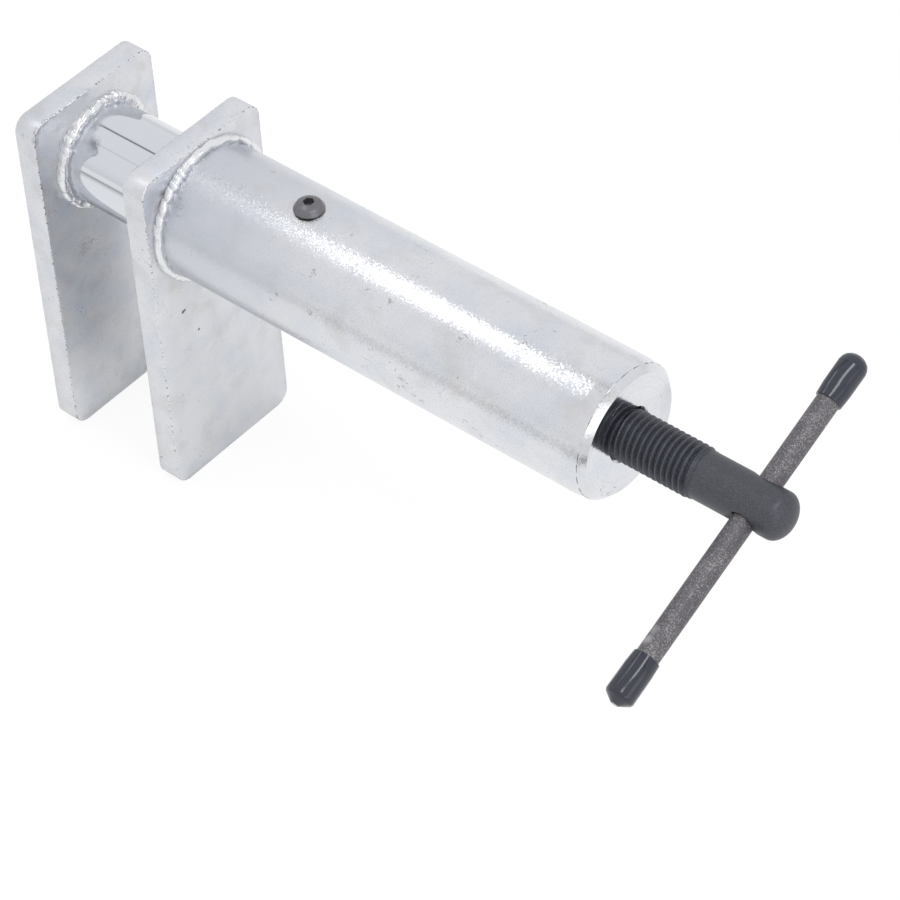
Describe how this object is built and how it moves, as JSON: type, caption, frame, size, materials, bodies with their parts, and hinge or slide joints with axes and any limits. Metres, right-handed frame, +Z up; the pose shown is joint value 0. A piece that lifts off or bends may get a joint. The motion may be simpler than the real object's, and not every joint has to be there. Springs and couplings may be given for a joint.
{
  "type": "brake caliper piston tool",
  "caption": "Screw-driven brake caliper spreader: a plate welded to a thick tube and a plate on a keyed sliding ram, forced apart by a T-bar screw.",
  "frame": {"origin": "on the screw's axis, in the plane of the fixed plate's working face, where the tube is welded to it", "axes": "+X along the screw's axis from the jaws to the T-bar, +Z up with the plates hanging down, +Y across the plates"},
  "size_m": [0.2641, 0.1093, 0.1204],
  "materials": {
    "zinc_plate": "bright zinc plated, satin",
    "weld_metal": "zinc plated weld bead, glossy and rippled",
    "ram_steel": "ground and bright plated",
    "black_oxide": "black oxide with an oil film",
    "phosphate": "dark phosphate with light flecks",
    "screw_steel": "blackened alloy steel",
    "hardened_steel": "ground, hardened",
    "vinyl": "dipped soft vinyl, glossy"
  },
  "bodies": {
    "body": {"body_tube": "zinc_plate", "end_plug": "zinc_plate", "end_plug_weld": "weld_metal", "fixed_plate": "zinc_plate", "fixed_plate_weld": "weld_metal", "guide_screw": "screw_steel"},
    "ram": {"ram": "ram_steel", "moving_plate": "zinc_plate", "moving_plate_weld": "weld_metal", "thrust_ball": "hardened_steel", "nose_pins": "hardened_steel"},
    "spindle": {"drive_screw": "black_oxide"},
    "bar": {"tommy_bar": "phosphate", "lower_bar_cap": "vinyl", "upper_bar_cap": "vinyl"}
  },
  "joints": [
    {"name": "ram_slide", "type": "slide", "parent": "body", "child": "ram", "axis": [-1, 0, 0], "range_m": [-0.0314, 0.0242]},
    {"name": "spindle_turn", "type": "hinge", "parent": "ram", "child": "spindle", "pos_m": [0.15, 0, 0], "axis": [-1, 0, 0], "range_deg": [-5653, 4357]},
    {"name": "bar_slide", "type": "slide", "parent": "spindle", "child": "bar", "axis": [0, 0.9225, 0.3859], "range_m": [-0.0286, 0.0456]}
  ],
  "couplings": [
    {"joint": "spindle_turn", "follows": "ram_slide", "rad_per_m": 3141.6}
  ]
}
